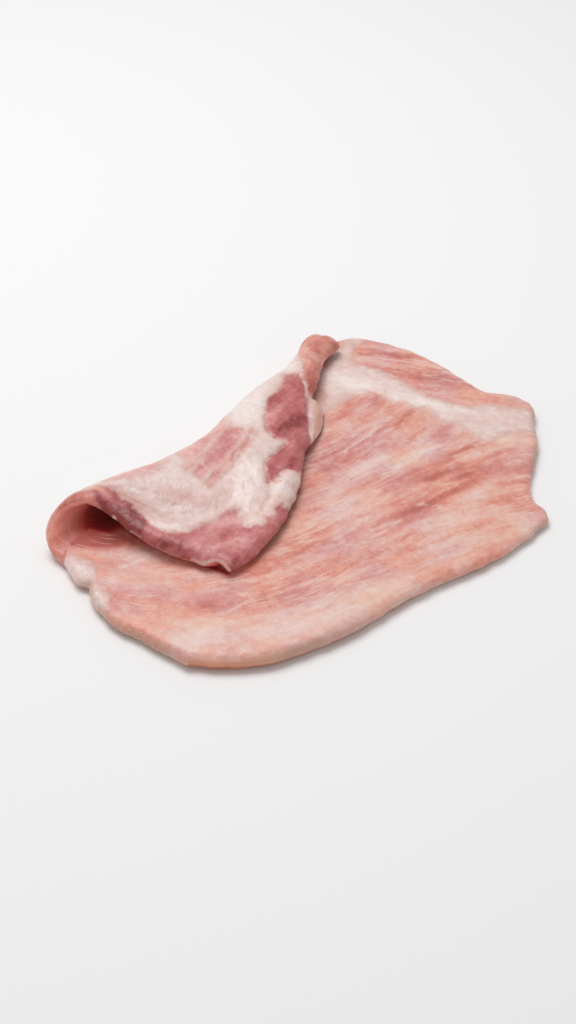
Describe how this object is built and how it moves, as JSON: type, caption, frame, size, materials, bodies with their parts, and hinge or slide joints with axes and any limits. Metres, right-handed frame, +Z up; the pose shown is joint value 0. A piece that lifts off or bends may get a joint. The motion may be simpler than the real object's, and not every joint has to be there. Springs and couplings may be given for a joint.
{
  "type": "pork belly slab",
  "caption": "Raw boneless slab of pork belly, a thin marbled sheet of meat lying flat with one corner folded over onto itself",
  "frame": {"origin": "on the surface that the slab lies on, under the middle of its footprint", "axes": "+Z up through the thin side of the slab; +X to the right and +Y away from the long front rim, with the folded corner on the -X side"},
  "size_m": [0.3478, 0.3614, 0.0396],
  "materials": {
    "meat": "moist raw meat: soft salmon-pink muscle streaked with cream fat, with small wet highlights"
  },
  "bodies": {
    "root": {"belly_slab": "meat"}
  },
  "joints": []
}
